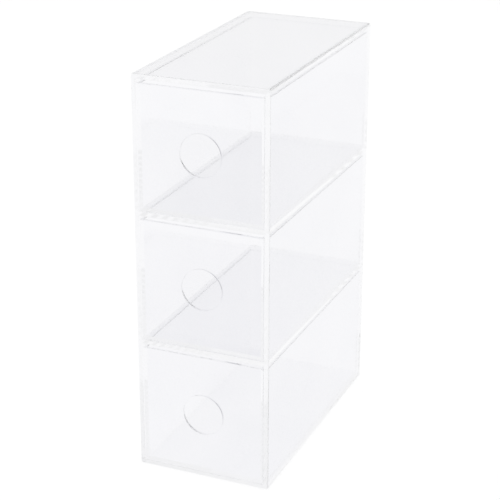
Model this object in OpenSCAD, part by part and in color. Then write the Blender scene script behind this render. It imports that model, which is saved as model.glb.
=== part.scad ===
// Three-drawer stacking box made of clear acrylic sheet.
// A tall case of flat plates, bonded edge to face, is divided by two shelves into three equal
// bays, open at the front. A drawer of thinner sheet slides in each bay and is pulled out by a
// round finger hole. The case's top and base are flat, so that boxes stand on each other.
// The origin is the middle of the base, on the surface that the box stands on.
// +X is to the right seen from the front, +Y to the back, and +Z up.

/* [Case] */
// Outside width of the case
case_w = 86; // [70:1:130]
// Outside depth of the case, front to back
case_d = 170; // [110:1:260]
// Outside height of the case
case_h = 252; // [180:1:360]
// Thickness of the sheet for the sides, back, top and floor
case_sheet = 3; // [2:0.1:5]
// Thickness of the sheet for the shelves
shelf_sheet = 3; // [2:0.1:5]
// Radius of the polished outer edges of the case
case_edge_r = 1.2; // [0.4:0.1:1.8]

/* [Drawers] */
// Thickness of the sheet for the drawers
drawer_sheet = 2; // [1.5:0.1:4]
// Running gap between a drawer and the case's sides, on each side
side_gap = 0.4; // [0.2:0.1:1]
// Running gap between a drawer and what it slides on
under_gap = 0.2; // [0.1:0.1:0.6]
// Gap between a drawer's rim and what is over it
over_gap = 2.3; // [1:0.1:6]
// How far the drawer fronts stand back from the case's front edges
front_set_back = 0.5; // [0:0.1:3]
// Gap between a closed drawer and the case's back
rear_gap = 0.7; // [0.3:0.1:3]
// Diameter of the finger hole in a drawer front
finger_hole_d = 26; // [16:1:34]

/* [Finish] */
// Radius of the flame-polished edges of shelves, drawers and inner front edges
polish_r = 0.4; // [0.1:0.1:0.6]

/* [Hidden] */

// Levels of the stack, from the base up
LOWER = 0;
MIDDLE = 1;
UPPER = 2;
bay_count = 3;

// The space inside the case, and one bay of it
inner_w = case_w - 2 * case_sheet;
inner_h = case_h - 2 * case_sheet;
bay_h = (inner_h - (bay_count - 1) * shelf_sheet) / bay_count;
bay_d = case_d - case_sheet;
bay_pitch = bay_h + shelf_sheet;
case_front = -case_d / 2;
back_front = case_front + bay_d;

// A drawer's outside, worked out from its bay and the running gaps
drawer_w = inner_w - 2 * side_gap;
drawer_h = bay_h - under_gap - over_gap;
drawer_d = bay_d - front_set_back - rear_gap;
drawer_front = case_front + front_set_back;
drawer_inner_w = drawer_w - 2 * drawer_sheet;
drawer_inner_d = drawer_d - 2 * drawer_sheet;

// Tints of the clear sheet: the case reads a little cooler than the drawers
case_tint = [0.88, 0.90, 0.95, 0.35];
drawer_tint = [0.93, 0.94, 0.97, 0.35];

// Overrun of every cutting body past the face it cuts
over = 1;
$fn = 64;

// Height of a bay's floor above the base
function bay_z(level) = case_sheet + level * bay_pitch;

// Height of the underside of the drawer in a bay
function drawer_z(level) = bay_z(level) + under_gap;

// A rectangle centred on the origin with its four corners rounded
module rounded_rect(w, h, r) {
    difference() {
        square([w, h], center = true);
        for (across = [0, 1], up = [0, 1])
            mirror([across, 0])
                mirror([0, up])
                    translate([w / 2 - r, h / 2 - r])
                        difference() {
                            square(r + over);
                            circle(r);
                        }
    }
}

// A block centred on the origin in plan, standing on z = 0, with all twelve edges rounded
module rounded_block(w, d, h, r) {
    intersection() {
        linear_extrude(h)
            rounded_rect(w, d, r);
        translate([0, d / 2, h / 2])
            rotate([90, 0, 0])
                linear_extrude(d)
                    rounded_rect(w, h, r);
        translate([-w / 2, 0, h / 2])
            rotate([90, 0, 90])
                linear_extrude(w)
                    rounded_rect(d, h, r);
    }
}

// The waste that rounds one edge of a plate: the edge runs up from the origin,
// and the plate lies on its +X, +Y side
module edge_waste(length, r) {
    translate([0, 0, -over])
        linear_extrude(length + 2 * over)
            difference() {
                translate([-over, -over])
                    square(r + over);
                translate([r, r])
                    circle(r);
            }
}

// The same waste for an edge that runs along +X from the origin, plate on its +Y, +Z side
module edge_waste_x(length, r) {
    rotate([90, 0, 90])
        edge_waste(length, r);
}

// The outside of the whole case, which every case plate is cut to
module case_outside() {
    rounded_block(case_w, case_d, case_h, case_edge_r);
}

// Left side plate, full height and depth; the edge that faces the drawers is polished
module case_left_side() {
    color(case_tint)
        difference() {
            intersection() {
                case_outside();
                translate([-case_w / 2, case_front, 0])
                    cube([case_sheet, case_d, case_h]);
            }
            translate([-inner_w / 2, case_front, 0])
                rotate([0, 0, 90])
                    edge_waste(case_h, polish_r);
        }
}

// Right side plate, the left one's mirror image
module case_right_side() {
    mirror([1, 0, 0])
        case_left_side();
}

// Back plate, between the side plates and between floor and top
module case_back() {
    color(case_tint)
        translate([-inner_w / 2, back_front, case_sheet])
            cube([inner_w, case_sheet, inner_h]);
}

// Floor plate, between the side plates; its inner front edge is polished
module case_floor() {
    color(case_tint)
        difference() {
            intersection() {
                case_outside();
                translate([-inner_w / 2, case_front, 0])
                    cube([inner_w, case_d, case_sheet]);
            }
            translate([-inner_w / 2, case_front, case_sheet])
                mirror([0, 0, 1])
                    edge_waste_x(inner_w, polish_r);
        }
}

// Top plate, the floor plate turned over
module case_top() {
    translate([0, 0, case_h])
        mirror([0, 0, 1])
            case_floor();
}

// The shelf over a bay, from the case's front to its back plate, with a polished front edge
module shelf(level) {
    color(case_tint)
        translate([-inner_w / 2, case_front, bay_z(level) + bay_h])
            difference() {
                cube([inner_w, bay_d, shelf_sheet]);
                edge_waste_x(inner_w, polish_r);
                translate([0, 0, shelf_sheet])
                    mirror([0, 0, 1])
                        edge_waste_x(inner_w, polish_r);
            }
}

// The outside of one drawer, which every drawer plate is cut to
module drawer_outside(level) {
    translate([0, drawer_front + drawer_d / 2, drawer_z(level)])
        rounded_block(drawer_w, drawer_d, drawer_h, polish_r);
}

// The round hole for a fingertip, with a polished rim on both faces of the front plate
module finger_hole(level) {
    hole_r = finger_hole_d / 2;
    translate([0, drawer_front, drawer_z(level) + drawer_h / 2])
        rotate([-90, 0, 0]) {
            translate([0, 0, -over])
                cylinder(r = hole_r, h = drawer_sheet + 2 * over);
            cylinder(r1 = hole_r + polish_r, r2 = hole_r, h = polish_r);
            translate([0, 0, drawer_sheet - polish_r])
                cylinder(r1 = hole_r, r2 = hole_r + polish_r, h = polish_r);
        }
}

// Drawer front, the full width and height of the drawer
module drawer_front_plate(level) {
    color(drawer_tint)
        difference() {
            intersection() {
                drawer_outside(level);
                translate([-drawer_w / 2, drawer_front, drawer_z(level)])
                    cube([drawer_w, drawer_sheet, drawer_h]);
            }
            finger_hole(level);
        }
}

// Drawer side, full height, butted against the back of the front plate
module drawer_left_side(level) {
    color(drawer_tint)
        difference() {
            intersection() {
                drawer_outside(level);
                translate([-drawer_w / 2, drawer_front + drawer_sheet, drawer_z(level)])
                    cube([drawer_sheet, drawer_d - drawer_sheet, drawer_h]);
            }
            // inner edge of the rim
            translate([-drawer_inner_w / 2, drawer_front + drawer_sheet, drawer_z(level) + drawer_h])
                rotate([-90, 0, 0])
                    mirror([1, 0, 0])
                        edge_waste(drawer_d, polish_r);
        }
}

// The opposite drawer side
module drawer_right_side(level) {
    mirror([1, 0, 0])
        drawer_left_side(level);
}

// Drawer back, between the drawer's sides, full height
module drawer_back(level) {
    back_y = drawer_front + drawer_d - drawer_sheet;
    color(drawer_tint)
        difference() {
            intersection() {
                drawer_outside(level);
                translate([-drawer_inner_w / 2, back_y, drawer_z(level)])
                    cube([drawer_inner_w, drawer_sheet, drawer_h]);
            }
            // inner edge of the rim
            translate([-drawer_inner_w / 2, back_y, drawer_z(level) + drawer_h])
                mirror([0, 0, 1])
                    edge_waste_x(drawer_inner_w, polish_r);
        }
}

// Drawer floor, inside the four upright plates, level with their lower edges
module drawer_floor(level) {
    color(drawer_tint)
        translate([-drawer_inner_w / 2, drawer_front + drawer_sheet, drawer_z(level)])
            cube([drawer_inner_w, drawer_inner_d, drawer_sheet]);
}

case_left_side();
case_right_side();
case_back();
case_top();
case_floor();
shelf(LOWER);  // lower_shelf
shelf(MIDDLE);  // upper_shelf
drawer_front_plate(LOWER);  // lower_drawer_front
drawer_floor(LOWER);  // lower_drawer_floor
drawer_left_side(LOWER);  // lower_drawer_left_side
drawer_right_side(LOWER);  // lower_drawer_right_side
drawer_back(LOWER);  // lower_drawer_back
drawer_front_plate(MIDDLE);  // middle_drawer_front
drawer_floor(MIDDLE);  // middle_drawer_floor
drawer_left_side(MIDDLE);  // middle_drawer_left_side
drawer_right_side(MIDDLE);  // middle_drawer_right_side
drawer_back(MIDDLE);  // middle_drawer_back
drawer_front_plate(UPPER);  // upper_drawer_front
drawer_floor(UPPER);  // upper_drawer_floor
drawer_left_side(UPPER);  // upper_drawer_left_side
drawer_right_side(UPPER);  // upper_drawer_right_side
drawer_back(UPPER);  // upper_drawer_back
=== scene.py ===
"""Looks of a clear acrylic box with three drawers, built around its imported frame.

Light crosses the solvent joint between two plates as if they were one piece. So the case is made
as one closed skin, and each drawer as another, and every skin is then parted into its plates. Each
plate is a closed object of its own, and its face in a joint lets light pass straight through.

Sizes are in metres unless their name says otherwise, in the frame's own axes: +X right, +Y to the
back, +Z up.
"""

import logging
import math
from collections.abc import Callable
from dataclasses import dataclass
from enum import Enum, IntEnum

import bmesh
import bpy
from mathutils import Matrix, Vector


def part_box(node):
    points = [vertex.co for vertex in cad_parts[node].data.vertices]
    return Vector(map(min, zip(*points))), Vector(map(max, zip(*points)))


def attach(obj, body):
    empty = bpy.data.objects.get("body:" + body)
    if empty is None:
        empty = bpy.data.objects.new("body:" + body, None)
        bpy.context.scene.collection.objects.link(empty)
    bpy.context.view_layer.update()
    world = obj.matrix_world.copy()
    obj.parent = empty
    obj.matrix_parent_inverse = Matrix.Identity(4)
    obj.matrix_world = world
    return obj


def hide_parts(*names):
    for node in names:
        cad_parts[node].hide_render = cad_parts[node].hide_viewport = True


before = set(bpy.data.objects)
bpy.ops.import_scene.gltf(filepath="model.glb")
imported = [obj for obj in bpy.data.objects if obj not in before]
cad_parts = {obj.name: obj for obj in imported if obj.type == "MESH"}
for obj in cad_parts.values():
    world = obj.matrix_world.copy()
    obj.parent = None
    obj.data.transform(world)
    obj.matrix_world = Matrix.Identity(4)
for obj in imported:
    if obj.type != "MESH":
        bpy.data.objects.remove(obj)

Colour = tuple[float, float, float]

LOG = logging.getLogger("drawer_box")
MM = 0.001
NEAR = 0.02 * MM  # corners closer than this are one corner
FLAT = 0.001 * MM  # a point this close to a plane lies in it
SQUARE = 0.9999  # a normal with a part this large is along an axis
HOLE_RADIUS = 13 * MM
HOLE_STEPS = 96  # around a hole; a multiple of eight, because its collar starts at 45 degrees
RIM_STEPS = 4  # across a hole's rounded rim
FLOOR_STEPS = 96  # around the floor
ACRYLIC_INDEX = 1.49
WHITE = (1, 1, 1, 1)
GUIDED_BOUNCES = 200  # the most reflections of light that a plate guides
SURE_BOUNCES = 100  # the first of them, in which no path is ended at random


class Level(Enum):
    """The three levels of the case, from the base up."""

    LOWER = "lower"
    MIDDLE = "middle"
    UPPER = "upper"


class Face(Enum):
    """What a face of a plate is, as the place of its finish in a list."""

    SHEET = 0
    EDGE = 1
    BOND = 2
    BORE = 3


class Axis(IntEnum):
    """An axis of the frame, as its place in a vector."""

    X = 0
    Y = 1
    Z = 2


@dataclass(frozen=True)
class Span:
    """A stretch between two values: of a length, a roughness, a light level or a share.

    Args:
        low: The value at its lower or first end.
        high: The value at its upper or last end.
    """

    low: float
    high: float

    @property
    def middle(self) -> float:
        """The middle of the stretch."""
        return (self.low + self.high) / 2

    @property
    def length(self) -> float:
        """The length of the stretch."""
        return self.high - self.low

    def holds(self, value: float) -> bool:
        """Whether a value in metres lies inside the stretch and off its ends."""
        return self.low + NEAR < value < self.high - NEAR


@dataclass(frozen=True)
class Block:
    """An upright box.

    Args:
        x: Its stretch from left to right.
        y: Its stretch from front to back.
        z: Its stretch from bottom to top.
    """

    x: Span
    y: Span
    z: Span

    @classmethod
    def of_node(cls, node: str) -> "Block":
        """Reads the box of a node of the frame.

        Args:
            node: The node's name.

        Returns:
            The node's box at rest.
        """
        low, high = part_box(node)
        return cls(*(Span(a, b) for a, b in zip(low, high)))

    def holds(self, point: Vector) -> bool:
        """Whether a point lies inside the box and off its faces."""
        return self.x.holds(point.x) and self.y.holds(point.y) and self.z.holds(point.z)


WHOLE = Span(0, 1)
TINT_PATCHES = Span(0.35, 0.7)  # noise levels over which a patch's tint comes in
HAZE_PATCHES = Span(0.3, 0.7)  # and those over which its haze does
HOLE_SHADE_PATCHES = Span(0.3, 0.6)  # and those over which the painted shade in a hole does
HOLE_SHADE_SHARES = Span(0.7, 1)  # the painted shade's share of its full strength, outside a patch and in it
HAIR_CRESTS = Span(0.66, 0.74)  # only the crests of a noise, which makes scuffs thin and few
HAIRS_PER_M = (900, 60, 240)  # close together across X, long along Y
ALONG_Y = (1, 0.03, 1)  # draws a noise out into marks that run from front to back
AROUND_Y = (0.05, 1, 0.05)  # draws it out into rings around a hole
PATCHES_TO_A_RIPPLE = 0.7
HOLE_PATCHES_PER_M = 90


class NodeGraph:
    """A material's or the world's nodes, wired up with short calls.

    Args:
        tree: The node tree to fill; what it holds is removed first.
    """

    PALE, DEEP, BLENDED = 6, 7, 2  # places of a Mix node's two colours and of its result

    def __init__(self, tree: bpy.types.NodeTree) -> None:
        """Empties the tree."""
        self.tree = tree
        tree.nodes.clear()

    def add(self, kind: str, **inputs: object) -> bpy.types.Node:
        """Adds a node.

        Args:
            kind: The node's type name.
            **inputs: Values or sockets for its inputs, with _ for each space of a name.

        Returns:
            The new node.
        """
        made = self.tree.nodes.new(kind)
        for name, value in inputs.items():
            self.put(made.inputs[name.replace("_", " ")], value)
        return made

    def put(self, socket: bpy.types.NodeSocket, value: object) -> None:
        """Feeds an input.

        Args:
            socket: The input.
            value: A socket to link to it, or the input's own value.
        """
        if isinstance(value, bpy.types.NodeSocket):
            self.tree.links.new(value, socket)
        else:
            socket.default_value = value

    def noise(self, where: object, scale: float, detail: float = 2.0) -> bpy.types.NodeSocket:
        """A noise pattern.

        Args:
            where: The coordinates that it follows.
            scale: How many features it has to a unit of them.
            detail: How many finer layers it has.

        Returns:
            The pattern's value, about 0 to 1.
        """
        made = self.add("ShaderNodeTexNoise", Vector=where, Scale=scale, Detail=detail)
        return made.outputs["Fac"]

    def stretched(self, where: object, scale: tuple[float, float, float]) -> bpy.types.NodeSocket:
        """Coordinates scaled by a different amount along each axis."""
        made = self.add("ShaderNodeMapping", Vector=where, Scale=scale)
        return made.outputs["Vector"]

    def ranged(self, value: object, old: Span, new: Span) -> bpy.types.NodeSocket:
        """Maps a value from one stretch to another, held at its ends.

        Args:
            value: The value.
            old: The stretch that it comes from.
            new: The stretch that it goes to.

        Returns:
            The mapped value.
        """
        made = self.add("ShaderNodeMapRange", Value=value)
        self.put(made.inputs["From Min"], old.low)
        self.put(made.inputs["From Max"], old.high)
        self.put(made.inputs["To Min"], new.low)
        self.put(made.inputs["To Max"], new.high)
        return made.outputs["Result"]

    def sums(self, how: str, first: object, second: object) -> bpy.types.NodeSocket:
        """Works out one value from two.

        Args:
            how: The Math node's operation.
            first: The first value.
            second: The second value.

        Returns:
            The outcome.
        """
        made = self.add("ShaderNodeMath")
        made.operation = how
        self.put(made.inputs[0], first)
        self.put(made.inputs[1], second)
        return made.outputs["Value"]

    def blended(self, amount: object, pale: Colour, deep: Colour) -> bpy.types.NodeSocket:
        """Blends two colours.

        Args:
            amount: The share of the deep one.
            pale: The pale colour.
            deep: The deep colour.

        Returns:
            The blended colour.
        """
        made = self.add("ShaderNodeMix")
        made.data_type = "RGBA"
        self.put(made.inputs["Factor"], amount)
        self.put(made.inputs[self.PALE], (*pale, 1))
        self.put(made.inputs[self.DEEP], (*deep, 1))
        return made.outputs[self.BLENDED]

    def bumps(self, shape: object, height: float, **over: object) -> bpy.types.NodeSocket:
        """Makes small bumps.

        Args:
            shape: The pattern that they follow.
            height: How high they are.
            **over: Normal, where they lie on other bumps.

        Returns:
            The bumped surface's normal.
        """
        made = self.add("ShaderNodeBump", Strength=1.0, Distance=height, Height=shape, **over)
        return made.outputs["Normal"]


def new_material(name: str) -> tuple[bpy.types.Material, NodeGraph]:
    """Makes a material that has no nodes yet.

    Args:
        name: Its name.

    Returns:
        The material and its node graph.
    """
    made = bpy.data.materials.new(name)
    made.use_nodes = True
    return made, NodeGraph(made.node_tree)


@dataclass(frozen=True)
class ClearAcrylic:
    """Clear cast acrylic, for either the face or the cut edge of a sheet.

    Args:
        name: The material's name.
        pale: The tint where the sheet is clearest.
        deep: The tint where it is least clear.
        haze: Roughness, from its clearest to its most handled places.
        ripple: Height of the surface's slow waves.
        ripples_per_m: How many slow waves there are to a metre.
        scuffs: Roughness that the hairline scuffs add.
        streak: Height of the fine marks that polishing has left, 0 for none.
        streaks_per_m: How many marks there are to a metre, across them.
        index: Its refractive index.
    """

    name: str
    pale: Colour
    deep: Colour
    haze: Span
    ripple: float
    ripples_per_m: float
    scuffs: float
    streak: float = 0.0
    streaks_per_m: float = 0.0
    index: float = ACRYLIC_INDEX

    def make(self) -> bpy.types.Material:
        """Makes the material.

        Returns:
            A node material that needs no image.
        """
        made, graph = new_material(self.name)
        place = graph.add("ShaderNodeTexCoord").outputs["Object"]
        handled = graph.noise(place, self.ripples_per_m * PATCHES_TO_A_RIPPLE, detail=4)
        tint = graph.blended(graph.ranged(handled, TINT_PATCHES, WHOLE), self.pale, self.deep)

        hairs = graph.noise(graph.stretched(place, HAIRS_PER_M), 1.0, detail=3)
        hairs = graph.ranged(hairs, HAIR_CRESTS, Span(0, self.scuffs))
        rough = graph.sums("ADD", graph.ranged(handled, HAZE_PATCHES, self.haze), hairs)

        normal = graph.bumps(graph.noise(place, self.ripples_per_m, detail=1), self.ripple)
        if self.streak:
            marks = graph.noise(graph.stretched(place, ALONG_Y), self.streaks_per_m)
            normal = graph.bumps(marks, self.streak, Normal=normal)
        shader = graph.add(
            "ShaderNodeBsdfPrincipled",
            Base_Color=tint,
            Roughness=rough,
            IOR=self.index,
            Transmission_Weight=1.0,
            Normal=normal,
        )
        graph.add("ShaderNodeOutputMaterial", Surface=shader.outputs["BSDF"])
        return made


@dataclass(frozen=True)
class BoredWall:
    """The wall of a hole bored through a sheet, with painted shade on two opposite sides of it.

    Args:
        name: The material's name.
        pale: The wall's colour where it has no painted shade.
        deep: Its colour where the painted shade is deepest.
        shade_direction: Along it lie the two sides where the painted shade is deepest.
        shade_left_right: Its depth on the left and on the right, as shares of the most.
        haze: Roughness, from its clearest to its dullest places.
        rings: Height of the cutter's fine rings.
        rings_per_m: How many rings there are to a metre.
        radius: The hole's radius.
        index: The sheet's refractive index.
    """

    name: str
    pale: Colour
    deep: Colour
    shade_direction: tuple[float, float, float]
    shade_left_right: Span
    haze: Span
    rings: float
    rings_per_m: float
    radius: float = HOLE_RADIUS
    index: float = ACRYLIC_INDEX

    def make(self) -> bpy.types.Material:
        """Makes the material.

        Returns:
            A node material that needs no image.
        """
        made, graph = new_material(self.name)
        place = graph.add("ShaderNodeTexCoord").outputs["Object"]
        patchy = graph.noise(place, HOLE_PATCHES_PER_M, detail=3)
        # painted shade darkens the wall's glass colour on two opposite sides of the hole
        shader = graph.add(
            "ShaderNodeBsdfGlass",
            Color=graph.blended(self._painted_shade(graph, place, patchy), self.pale, self.deep),
            Roughness=graph.ranged(patchy, HAZE_PATCHES, self.haze),
            IOR=self.index,
        )
        cuts = graph.noise(graph.stretched(place, AROUND_Y), self.rings_per_m, detail=1)
        graph.put(shader.inputs["Normal"], graph.bumps(cuts, self.rings))
        graph.add("ShaderNodeOutputMaterial", Surface=shader.outputs["BSDF"])
        return made

    def _painted_shade(self, graph: NodeGraph, place: object, patchy: object) -> bpy.types.NodeSocket:
        """Works out how deep the painted shade on the wall is.

        Args:
            graph: The material's nodes.
            place: The coordinates.
            patchy: The noise of the patches.

        Returns:
            The share of the most that there can be.
        """
        # painted shade: deepest on the two sides along the given direction, much deeper on the
        # right than on the left, and patchy
        normal = graph.add("ShaderNodeNewGeometry").outputs["Normal"]
        facing = graph.add("ShaderNodeVectorMath", Vector=normal)
        facing.operation = "DOT_PRODUCT"
        graph.put(facing.inputs[1], self.shade_direction)
        side = graph.sums("MULTIPLY", facing.outputs["Value"], facing.outputs["Value"])
        across = graph.add("ShaderNodeSeparateXYZ", Vector=place).outputs["X"]
        share = graph.ranged(across, Span(-self.radius, self.radius), self.shade_left_right)
        patches = graph.ranged(patchy, HOLE_SHADE_PATCHES, HOLE_SHADE_SHARES)
        return graph.sums("MULTIPLY", graph.sums("MULTIPLY", side, share), patches)


@dataclass(frozen=True)
class SolventBond:
    """The face inside a joint, through which light passes as if it were not there.

    Args:
        name: The material's name.
    """

    name: str

    def make(self) -> bpy.types.Material:
        """Makes the material.

        Returns:
            A fully transparent material.
        """
        made, graph = new_material(self.name)
        clear = graph.add("ShaderNodeBsdfTransparent", Color=WHITE)
        graph.add("ShaderNodeOutputMaterial", Surface=clear.outputs["BSDF"])
        return made


@dataclass(frozen=True)
class SheetFinish:
    """The finishes of a group of plates.

    Args:
        faces: That of their faces.
        edges: That of their cut edges.
        joints: That of their faces inside joints.
        bores: That of the hole's wall, if there is a hole.
    """

    faces: ClearAcrylic
    edges: ClearAcrylic
    joints: SolventBond
    bores: BoredWall | None = None

    def make(self) -> list[bpy.types.Material]:
        """Makes the materials, in the order of Face."""
        made = [self.faces.make(), self.edges.make(), self.joints.make()]
        return made + [self.bores.make()] if self.bores else made


CASE_FINISH = SheetFinish(
    faces=ClearAcrylic(
        name="case_sheet",
        pale=(0.964, 0.964, 0.972),
        deep=(0.952, 0.9525, 0.962),
        haze=Span(0.020, 0.040),
        ripple=0.008 * MM,
        ripples_per_m=26,
        scuffs=0.02,
    ),
    # The cut edges' tint, darker than the sheet's, is painted shade that deepens the dark lines
    # along the edges.
    edges=ClearAcrylic(
        name="case_cut_edge_painted_shade",
        pale=(0.940, 0.941, 0.952),
        deep=(0.915, 0.917, 0.931),
        haze=Span(0.11, 0.17),
        ripple=0.004 * MM,
        ripples_per_m=120,
        scuffs=0.03,
        streak=0.0003 * MM,
        streaks_per_m=1800,
    ),
    joints=SolventBond(name="case_bond"),
)

DRAWER_FINISH = SheetFinish(
    faces=ClearAcrylic(
        name="drawer_sheet",
        pale=(0.990, 0.990, 0.994),
        deep=(0.981, 0.9815, 0.987),
        haze=Span(0.020, 0.045),
        ripple=0.008 * MM,
        ripples_per_m=34,
        scuffs=0.03,
    ),
    # The cut edges' tint, darker than the sheet's, is painted shade that deepens the dark lines
    # along the edges.
    edges=ClearAcrylic(
        name="drawer_cut_edge_painted_shade",
        pale=(0.972, 0.973, 0.980),
        deep=(0.950, 0.952, 0.962),
        haze=Span(0.10, 0.16),
        ripple=0.003 * MM,
        ripples_per_m=140,
        scuffs=0.04,
        streak=0.0003 * MM,
        streaks_per_m=2200,
    ),
    joints=SolventBond(name="drawer_bond"),
    # the hole's wall carries painted shade, deep on its upper right and faint on its lower left
    bores=BoredWall(
        name="drawer_bored_wall_painted_shade",
        pale=(0.98, 0.98, 0.985),
        deep=(0.64, 0.64, 0.67),
        shade_direction=(0.88, 0.0, 0.47),
        shade_left_right=Span(0.06, 1.0),
        haze=Span(0.03, 0.08),
        rings=0.0006 * MM,
        rings_per_m=2400,
    ),
)


class Skin:
    """A closed clear skin in the making.

    Args:
        mesh: Its mesh.
        segments: How many steps each rounded edge has.
    """

    def __init__(self, mesh: bmesh.types.BMesh, segments: int) -> None:
        """Takes the mesh over."""
        self.mesh = mesh
        self.segments = segments

    @classmethod
    def of_block(cls, block: Block, edge_radius: float, segments: int) -> "Skin":
        """Starts a skin as a box with rounded edges.

        Args:
            block: The box.
            edge_radius: The radius of its twelve edges.
            segments: How many steps each rounded edge has.

        Returns:
            The new skin.
        """
        mesh = bmesh.new()
        bmesh.ops.create_cube(mesh, size=1)
        for corner in mesh.verts:
            corner.co = Vector(
                span.middle + value * span.length
                for span, value in zip((block.x, block.y, block.z), corner.co)
            )
        skin = cls(mesh, segments)
        skin.round_off(lambda a, b: True, edge_radius)
        return skin

    def round_off(self, wanted: Callable[[Vector, Vector], bool], radius: float) -> None:
        """Rounds edges off.

        Args:
            wanted: Tells from an edge's two ends whether it is rounded.
            radius: The radius.
        """
        edges = [e for e in self.mesh.edges if wanted(e.verts[0].co, e.verts[1].co)]
        bmesh.ops.bevel(
            self.mesh,
            geom=edges,
            offset=radius,
            offset_type="OFFSET",
            segments=self.segments,
            profile=0.5,  # round
            affect="EDGES",
            clamp_overlap=False,
        )

    def cut_along(self, axis: Axis, values: list[float]) -> None:
        """Divides every face along planes, without opening the skin.

        Args:
            axis: The axis that the planes are square to.
            values: Where along it they are.
        """
        across = Vector((0, 0, 0))
        across[axis] = 1
        for value in values:
            bmesh.ops.bisect_plane(
                self.mesh,
                geom=[*self.mesh.verts, *self.mesh.edges, *self.mesh.faces],
                dist=FLAT,
                plane_co=across * value,
                plane_no=across,
            )

    def open_up(self, inside: Callable[[Vector, Vector], bool]) -> None:
        """Removes the faces that a test names, by their middle and normal."""
        gone = [f for f in self.mesh.faces if inside(f.calc_center_median(), f.normal)]
        bmesh.ops.delete(self.mesh, geom=gone, context="FACES")

    def hollow(self, space: Block, open_side: Vector) -> None:
        """Adds the five inner faces of a hollow that is open on one side.

        Args:
            space: The hollow.
            open_side: The direction in which it has no face.
        """
        spans = (space.x, space.y, space.z)
        for axis in Axis:
            for end, way in ((0, -1), (1, 1)):
                outward = Vector((0, 0, 0))
                outward[axis] = way
                if outward == open_side:
                    continue
                u, v = (axis + 1) % 3, (axis + 2) % 3
                corners = []
                for a, b in ((0, 0), (1, 0), (1, 1), (0, 1)):
                    spot = Vector((0, 0, 0))
                    spot[axis] = spans[axis].high if end else spans[axis].low
                    spot[u] = spans[u].high if a else spans[u].low
                    spot[v] = spans[v].high if b else spans[v].low
                    corners.append(self.mesh.verts.new(spot))
                self.mesh.faces.new(corners)
        self.weld()

    def weld(self) -> None:
        """Joins corners that meet, and turns every face outwards."""
        bmesh.ops.remove_doubles(self.mesh, verts=self.mesh.verts, dist=NEAR)
        bmesh.ops.recalc_face_normals(self.mesh, faces=self.mesh.faces)

    def bore(
        self, centre: Vector, through: Span, radius: float, lip: float, window: float
    ) -> None:
        """Makes a round hole along Y, with rounded rims on both faces.

        Args:
            centre: The hole's centre.
            through: The stretch of Y that it goes through.
            radius: The hole's radius.
            lip: The radius of its polished rims.
            window: Half the width of the square of each face that is made anew around it.
        """
        across = Span(centre.x - window, centre.x + window)
        upwards = Span(centre.z - window, centre.z + window)
        self.cut_along(Axis.X, [across.low, across.high])
        self.cut_along(Axis.Z, [upwards.low, upwards.high])
        square = Block(across, Span(through.low - lip, through.high + lip), upwards)
        self.open_up(lambda middle, normal: abs(normal.y) > SQUARE and square.holds(middle))

        # from the front face over its rounded rim, then the mirror image up to the rear face
        profile = []
        for k in range(RIM_STEPS + 1):
            turn = math.pi / 2 * k / RIM_STEPS
            depth, widening = lip * (1 - math.cos(turn)), lip * (1 - math.sin(turn))
            profile.append((through.low + depth, radius + widening))
        profile += [(through.low + through.high - y, r) for y, r in reversed(profile)]
        rings = [self._ring(centre, y, r) for y, r in profile]
        for near, far in zip(rings, rings[1:]):
            for k in range(HOLE_STEPS):
                n = (k + 1) % HOLE_STEPS
                self.mesh.faces.new((near[k], near[n], far[n], far[k]))
        for y, ring in ((through.low, rings[0]), (through.high, rings[-1])):
            self._collar(centre, y, window, ring)
        self.weld()

    def _ring(self, centre: Vector, y: float, radius: float) -> list[bmesh.types.BMVert]:
        """Adds a ring of corners square to Y.

        Args:
            centre: Where its centre is in X and Z.
            y: Where it lies.
            radius: Its radius.

        Returns:
            The corners, counter-clockwise seen from the front, from just above +X.
        """
        ring = []
        for k in range(HOLE_STEPS):
            turn = math.tau * (k + 0.5) / HOLE_STEPS
            x, z = centre.x + radius * math.cos(turn), centre.z + radius * math.sin(turn)
            ring.append(self.mesh.verts.new((x, y, z)))
        return ring

    def _collar(
        self, centre: Vector, y: float, window: float, ring: list[bmesh.types.BMVert]
    ) -> None:
        """Fills a face between a square opening and the ring inside it, with four faces.

        Args:
            centre: The ring's centre.
            y: Where the face lies.
            window: Half the width of the square.
            ring: The ring's corners, as _ring gives them.
        """

        def is_corner(vert: bmesh.types.BMVert) -> bool:
            """Whether a vertex is one of the square's corners."""
            dx, dz = abs(vert.co.x - centre.x), abs(vert.co.z - centre.z)
            return max(abs(vert.co.y - y), abs(dx - window), abs(dz - window)) < NEAR

        corners = sorted(
            (v for v in self.mesh.verts if is_corner(v)),
            key=lambda v: math.atan2(v.co.z - centre.z, v.co.x - centre.x),
        )
        quarter, eighth = len(ring) // 4, len(ring) // 8
        for k in range(4):
            # the corners stand at -135, -45, 45 and 135 degrees
            start = k * quarter - 3 * eighth
            arc = [ring[(start + s) % len(ring)] for s in range(quarter + 1)]
            self.mesh.faces.new([corners[k], corners[(k + 1) % 4], *reversed(arc)])

    def paint(self, kind_of: Callable[[Vector, Vector], Face]) -> None:
        """Gives each face its finish, and has the rounded ones shaded smooth.

        Args:
            kind_of: Tells from a face's middle and normal what it is.
        """
        for face in self.mesh.faces:
            face.smooth = max(abs(c) for c in face.normal) < SQUARE
            face.material_index = kind_of(face.calc_center_median(), face.normal).value

    def split(self, axis: Axis, value: float) -> tuple["Skin", "Skin"]:
        """Parts the skin along a plane, and closes both parts with a bonded face.

        Args:
            axis: The axis that the plane is square to.
            value: Where along it the plane is.

        Returns:
            The part below the plane and the part above it.
        """
        self.cut_along(axis, [value])
        parts = (self, Skin(self.mesh.copy(), self.segments))
        for way, part in zip((1, -1), parts):

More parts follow.
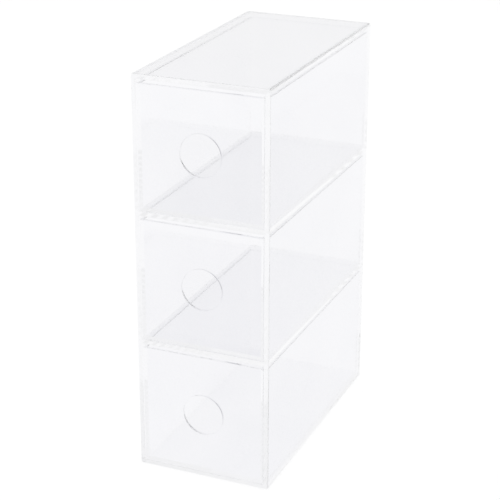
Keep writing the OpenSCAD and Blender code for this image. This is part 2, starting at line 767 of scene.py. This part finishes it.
            def beyond(middle: Vector, normal: Vector) -> bool:
                """Whether a face is the other part's; in the plane, its material's side decides."""
                past = (middle[axis] - value) * way
                return normal[axis] * way < 0 if abs(past) < FLAT else past > 0

            part.open_up(beyond)
            part.close_up()
        return parts

    def close_up(self) -> None:
        """Closes what a cut has left open with bonded faces."""
        rim = [e for e in self.mesh.edges if e.is_boundary]
        if rim:
            made = bmesh.ops.triangle_fill(self.mesh, edges=rim, use_beauty=True)["geom"]
            for face in (g for g in made if isinstance(g, bmesh.types.BMFace)):
                face.material_index = Face.BOND.value
                face.smooth = False
            for edge in rim:
                edge.smooth = False
        bmesh.ops.recalc_face_normals(self.mesh, faces=self.mesh.faces)

    def hand_over(self, name: str, finish: list[bpy.types.Material]) -> bpy.types.Object:
        """Makes an object of the skin.

        Args:
            name: The object's name.
            finish: Its materials, in the order of Face.

        Returns:
            The object, linked to the scene.
        """
        torn = sum(len(e.link_faces) != 2 for e in self.mesh.edges)
        if torn:
            LOG.warning("%s has %d edges that aren't closed", name, torn)
        mesh = bpy.data.meshes.new(name)
        self.mesh.to_mesh(mesh)
        self.mesh.free()
        for material in finish:
            mesh.materials.append(material)
        piece = bpy.data.objects.new(name, mesh)
        bpy.context.scene.collection.objects.link(piece)
        return piece


@dataclass
class BondedBox:
    """A group of plates bonded into one body.

    Args:
        body: The frame's body that they move with.
        slot: The record's material slot; not used.
        finish: What the plates look like.
    """

    body: str
    slot: str
    finish: SheetFinish

    def dress(self, plates: dict[str, Skin]) -> None:
        """Puts each plate in its node's place.

        Args:
            plates: The finished skin of each plate, by the name of its node.
        """
        materials = self.finish.make()
        for node, skin in plates.items():
            piece = skin.hand_over(node + "_clear", materials)
            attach(piece, self.body)
            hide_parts(node)
            LOG.info("%s: %d faces", piece.name, len(piece.data.polygons))


@dataclass
class Case(BondedBox):
    """The outer case: two sides, top, floor, back and two shelves.

    Args:
        edge_radius: The radius of its outer edges.
        polish_radius: The radius of the edges around each bay's mouth.
        segments: How many steps each rounded edge has.
    """

    body: str = "case"
    slot: str = "case_acrylic"
    finish: SheetFinish = CASE_FINISH
    edge_radius: float = 1.2 * MM
    polish_radius: float = 0.4 * MM
    segments: int = 5

    def __post_init__(self) -> None:
        """Reads the plates' places from the frame."""
        self.left, self.right = Block.of_node("case_left_side"), Block.of_node("case_right_side")
        self.top, self.floor = Block.of_node("case_top"), Block.of_node("case_floor")
        self.back = Block.of_node("case_back")
        lower, upper = Block.of_node("lower_shelf"), Block.of_node("upper_shelf")
        self.front = self.left.y.low
        across = Span(self.left.x.high, self.right.x.low)
        floors = [self.floor.z.high, lower.z.high, upper.z.high]
        ceilings = [lower.z.low, upper.z.low, self.top.z.low]
        self.bays = [
            Block(across, Span(self.front, self.back.y.low), Span(low, high))
            for low, high in zip(floors, ceilings)
        ]

    def build(self) -> None:
        """Builds the case's skin and its seven plates."""
        across = self.bays[0].x
        outside = Block(Span(self.left.x.low, self.right.x.high), self.left.y, self.left.z)
        skin = Skin.of_block(outside, self.edge_radius, self.segments)
        skin.cut_along(Axis.X, [across.low, across.high])
        skin.cut_along(Axis.Z, [height for bay in self.bays for height in (bay.z.low, bay.z.high)])
        skin.open_up(self._is_mouth)
        for bay in self.bays:
            skin.hollow(bay, Vector((0, -1, 0)))
        skin.round_off(self._is_mouth_edge, self.polish_radius)
        skin.paint(self._kind_of)

        left, rest = skin.split(Axis.X, across.low)
        rest, right = rest.split(Axis.X, across.high)
        rest, top = rest.split(Axis.Z, self.top.z.low)
        floor, rest = rest.split(Axis.Z, self.floor.z.high)
        rest, back = rest.split(Axis.Y, self.back.y.low)
        # the shelves are all that is left, and the plane between them cuts nothing
        lower, upper = rest.split(Axis.Z, self.bays[1].z.middle)
        self.dress(
            {
                "case_left_side": left,
                "case_right_side": right,
                "case_floor": floor,
                "case_top": top,
                "case_back": back,
                "lower_shelf": lower,
                "upper_shelf": upper,
            }
        )

    def _is_mouth(self, middle: Vector, normal: Vector) -> bool:
        """Whether a face of the front closes a bay."""
        over_bay = any(b.x.holds(middle.x) and b.z.holds(middle.z) for b in self.bays)
        return normal.y < -SQUARE and over_bay

    def _is_mouth_edge(self, a: Vector, b: Vector) -> bool:
        """Tells the edges on the front rim of a bay.

        Args:
            a: One end of the edge.
            b: Its other end.

        Returns:
            Whether it is one of them.
        """
        if max(abs(a.y - self.front), abs(b.y - self.front)) > NEAR:
            return False
        middle = (a + b) / 2
        for bay in self.bays:
            upright = any(max(abs(a.x - x), abs(b.x - x)) < NEAR for x in (bay.x.low, bay.x.high))
            level = any(max(abs(a.z - z), abs(b.z - z)) < NEAR for z in (bay.z.low, bay.z.high))
            if upright and bay.z.holds(middle.z) or level and bay.x.holds(middle.x):
                return True
        return False

    def _kind_of(self, middle: Vector, normal: Vector) -> Face:
        """Tells what a face of the case is; rounded corners count as cut edges.

        Args:
            middle: The face's middle.
            normal: Its normal.

        Returns:
            Its kind.
        """
        between_sides = self.bays[0].x.holds(middle.x)
        if max(abs(c) for c in normal) < SQUARE:
            cut = True
        elif normal.y < -SQUARE:
            cut = abs(middle.y - self.front) < NEAR
        elif normal.y > SQUARE:
            back_plate = Span(self.floor.z.high, self.top.z.low)
            cut = not between_sides or not back_plate.holds(middle.z)
        else:
            cut = abs(normal.z) > SQUARE and not between_sides
        return Face.EDGE if cut else Face.SHEET


@dataclass
class Drawer(BondedBox):
    """One drawer: front with finger hole, two sides, back and floor.

    Args:
        level: Which bay it runs in.
        polish_radius: The radius of its edges and of the hole's rims.
        hole_radius: The finger hole's radius.
        window: Half the width of the square around the hole.
        segments: How many steps each rounded edge has.
    """

    body: str = ""
    slot: str = "drawer_acrylic"
    finish: SheetFinish = DRAWER_FINISH
    level: Level = Level.LOWER
    polish_radius: float = 0.4 * MM
    hole_radius: float = HOLE_RADIUS
    window: float = 18 * MM
    segments: int = 3

    def __post_init__(self) -> None:
        """Names its body, and reads the plates' places from the frame."""
        self.body = f"{self.level.value}_drawer"
        self.front, self.back = self._plate("front"), self._plate("back")
        self.inner = Block(
            Span(self._plate("left_side").x.high, self._plate("right_side").x.low),
            Span(self.front.y.high, self.back.y.low),
            Span(self._plate("floor").z.high, self.front.z.high),
        )
        self.centre = Vector((self.front.x.middle, self.front.y.middle, self.front.z.middle))

    def node(self, plate: str) -> str:
        """The name of the frame's node for one of the drawer's plates."""
        return f"{self.level.value}_drawer_{plate}"

    def _plate(self, plate: str) -> Block:
        """The box of one of the drawer's plates."""
        return Block.of_node(self.node(plate))

    def build(self) -> None:
        """Builds the drawer's skin and its five plates."""
        inner = self.inner
        outside = Block(self.front.x, Span(self.front.y.low, self.back.y.high), self.front.z)
        skin = Skin.of_block(outside, self.polish_radius, self.segments)
        skin.cut_along(Axis.X, [inner.x.low, inner.x.high])
        skin.cut_along(Axis.Y, [inner.y.low, inner.y.high])
        skin.cut_along(Axis.Z, [inner.z.low])
        skin.open_up(self._is_mouth)
        skin.hollow(inner, Vector((0, 0, 1)))
        skin.round_off(self._is_rim, self.polish_radius)
        skin.bore(self.centre, self.front.y, self.hole_radius, self.polish_radius, self.window)
        skin.paint(self._kind_of)

        front, rest = skin.split(Axis.Y, inner.y.low)
        left, rest = rest.split(Axis.X, inner.x.low)
        rest, right = rest.split(Axis.X, inner.x.high)
        floor, back = rest.split(Axis.Y, inner.y.high)
        self.dress(
            {
                self.node("front"): front,
                self.node("left_side"): left,
                self.node("right_side"): right,
                self.node("back"): back,
                self.node("floor"): floor,
            }
        )

    def _is_mouth(self, middle: Vector, normal: Vector) -> bool:
        """Whether a face closes the drawer's top."""
        return normal.z > SQUARE and self.inner.x.holds(middle.x) and self.inner.y.holds(middle.y)

    def _is_rim(self, a: Vector, b: Vector) -> bool:
        """Tells the edges on the inner rim of the open top.

        Args:
            a: One end of the edge.
            b: Its other end.

        Returns:
            Whether it is one of them.
        """
        inner, middle = self.inner, (a + b) / 2
        if max(abs(a.z - inner.z.high), abs(b.z - inner.z.high)) > NEAR:
            return False
        beside = any(max(abs(a.x - x), abs(b.x - x)) < NEAR for x in (inner.x.low, inner.x.high))
        behind = any(max(abs(a.y - y), abs(b.y - y)) < NEAR for y in (inner.y.low, inner.y.high))
        return beside and inner.y.holds(middle.y) or behind and inner.x.holds(middle.x)

    def _kind_of(self, middle: Vector, normal: Vector) -> Face:
        """Tells what a face of the drawer is; its rounded rims count as cut edges.

        Args:
            middle: The face's middle.
            normal: Its normal.

        Returns:
            Its kind.
        """
        reach = math.hypot(middle.x - self.centre.x, middle.z - self.centre.z)
        if self.front.y.holds(middle.y) and reach < self.hole_radius + self.polish_radius:
            return Face.BORE
        rounded = max(abs(c) for c in normal) < SQUARE
        topmost = normal.z > SQUARE and middle.z > self.front.z.high - NEAR
        return Face.EDGE if rounded or topmost else Face.SHEET


@dataclass(frozen=True)
class Studio:
    """A plain pale room with soft light all round.

    Args:
        horizon: The room's light level at the horizon.
        zenith: Its light level straight above.
        floor_colour: The floor's own colour.
        floor_lift: How much the floor glows where it is seen, far away and near the box, so that
            it reads as white near the box and meets the room's tone at the horizon.
        lift_ends: The distances from the box between which the glow goes from near to far.
        floor_reach: Half the floor's width.
        floor_gap: How far below the base the floor lies.
    """

    horizon: float = 0.86
    zenith: float = 1.0
    floor_colour: float = 0.30
    floor_lift: Span = Span(0.574, 0.730)
    lift_ends: Span = Span(2.0, 4.5)
    floor_reach: float = 5.0
    floor_gap: float = 0.15 * MM

    def build(self) -> None:
        """Builds the room's light and its floor."""
        self._room()
        self._floor()

    def _room(self) -> None:
        """Makes the world, a soft grey at the horizon and white above."""
        world = bpy.data.worlds.new("soft_room")
        bpy.context.scene.world = world
        world.use_nodes = True
        world.cycles.sampling_method = "NONE"  # even light needs no sampling as a lamp
        graph = NodeGraph(world.node_tree)
        place = graph.add("ShaderNodeTexCoord").outputs["Generated"]
        height = graph.add("ShaderNodeSeparateXYZ", Vector=place).outputs["Z"]
        level = graph.ranged(height, WHOLE, Span(self.horizon, self.zenith))
        light = graph.add("ShaderNodeBackground", Color=WHITE, Strength=level)
        graph.add("ShaderNodeOutputWorld", Surface=light.outputs["Background"])

    def _floor(self) -> None:
        """Makes the floor, which reads as white around the box and keeps its shadow."""
        shape = bmesh.new()
        bmesh.ops.create_circle(
            shape, cap_ends=True, segments=FLOOR_STEPS, radius=self.floor_reach
        )
        for corner in shape.verts:
            corner.co.z = -self.floor_gap
        mesh = bpy.data.meshes.new("floor")
        shape.to_mesh(mesh)
        shape.free()
        mesh.materials.append(self._floor_paint())

        floor = bpy.data.objects.new("floor", mesh)
        bpy.context.scene.collection.objects.link(floor)

    def _floor_paint(self) -> bpy.types.Material:
        """Makes the floor's material, which glows where it is seen, mirrored or refracted.

        Returns:
            The material.
        """
        made, graph = new_material("pale_floor")
        path = graph.add("ShaderNodeLightPath").outputs
        seen = graph.sums("MAXIMUM", path["Is Camera Ray"], path["Is Glossy Ray"])
        seen = graph.sums("MAXIMUM", seen, path["Is Transmission Ray"])
        place = graph.add("ShaderNodeTexCoord").outputs["Object"]
        away = graph.add("ShaderNodeVectorMath", Vector=place)
        away.operation = "LENGTH"
        near_to_far = Span(self.floor_lift.high, self.floor_lift.low)
        lift = graph.ranged(away.outputs["Value"], self.lift_ends, near_to_far)
        strength = graph.sums("MULTIPLY", seen, lift)
        glow = graph.add("ShaderNodeEmission", Color=WHITE, Strength=strength)
        matt = graph.add("ShaderNodeBsdfDiffuse", Color=(*[self.floor_colour] * 3, 1))
        both = graph.add("ShaderNodeAddShader")
        graph.put(both.inputs[0], matt.outputs["BSDF"])
        graph.put(both.inputs[1], glow.outputs["Emission"])
        graph.add("ShaderNodeOutputMaterial", Surface=both.outputs["Shader"])
        return made


@dataclass(frozen=True)
class Viewpoint:
    """The camera, solved from the box's corners in the photograph.

    Args:
        place: Where it stands.
        ahead: The direction that it looks in.
        roll_deg: How far it is turned about that direction.
        focal_px: Focal length, in pixels of a picture picture_px wide.
        picture_px: The picture's width.
        sensor_mm: The sensor's width.
        nearest: The distance from which on it sees things.
    """

    place: tuple[float, float, float] = (0.348894, -0.831707, 0.482853)
    ahead: tuple[float, float, float] = (-0.363091, 0.853442, -0.373901)
    roll_deg: float = 0.10
    focal_px: float = 1526.62
    picture_px: float = 500.0
    sensor_mm: float = 36.0
    nearest: float = 10 * MM

    def build(self) -> None:
        """Makes the camera and gives it to the scene."""
        data = bpy.data.cameras.new("viewpoint")
        data.sensor_fit = "HORIZONTAL"
        data.sensor_width = self.sensor_mm
        data.lens = self.focal_px / self.picture_px * self.sensor_mm
        data.clip_start = self.nearest
        camera = bpy.data.objects.new("viewpoint", data)
        turn = Vector(self.ahead).to_track_quat("-Z", "Y").to_matrix().to_4x4()
        roll = Matrix.Rotation(math.radians(self.roll_deg), 4, "Z")
        camera.matrix_world = Matrix.Translation(Vector(self.place)) @ turn @ roll
        bpy.context.scene.collection.objects.link(camera)
        bpy.context.scene.camera = camera


def set_render() -> None:
    """Sets what clear sheets need.

    Light that a plate guides reaches its far edge. The denoiser goes by colour alone, because the
    other passes that could guide it are themselves noisy behind many clear faces.
    """
    scene = bpy.context.scene
    scene.view_settings.view_transform = "Standard"
    paths = scene.cycles
    paths.max_bounces = paths.transmission_bounces = paths.glossy_bounces = GUIDED_BOUNCES
    paths.transparent_max_bounces = GUIDED_BOUNCES
    paths.min_light_bounces = paths.min_transparent_bounces = SURE_BOUNCES
    paths.blur_glossy = 0
    paths.denoising_input_passes = "RGB"


def main() -> None:
    """Builds the case, the drawers, the room and the viewpoint, in that order."""
    logging.basicConfig(level=logging.INFO, format="%(name)s: %(message)s")
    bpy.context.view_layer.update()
    Case().build()
    for level in Level:
        Drawer(level=level).build()
    Studio().build()
    Viewpoint().build()
    set_render()


if __name__ == "__main__":
    main()
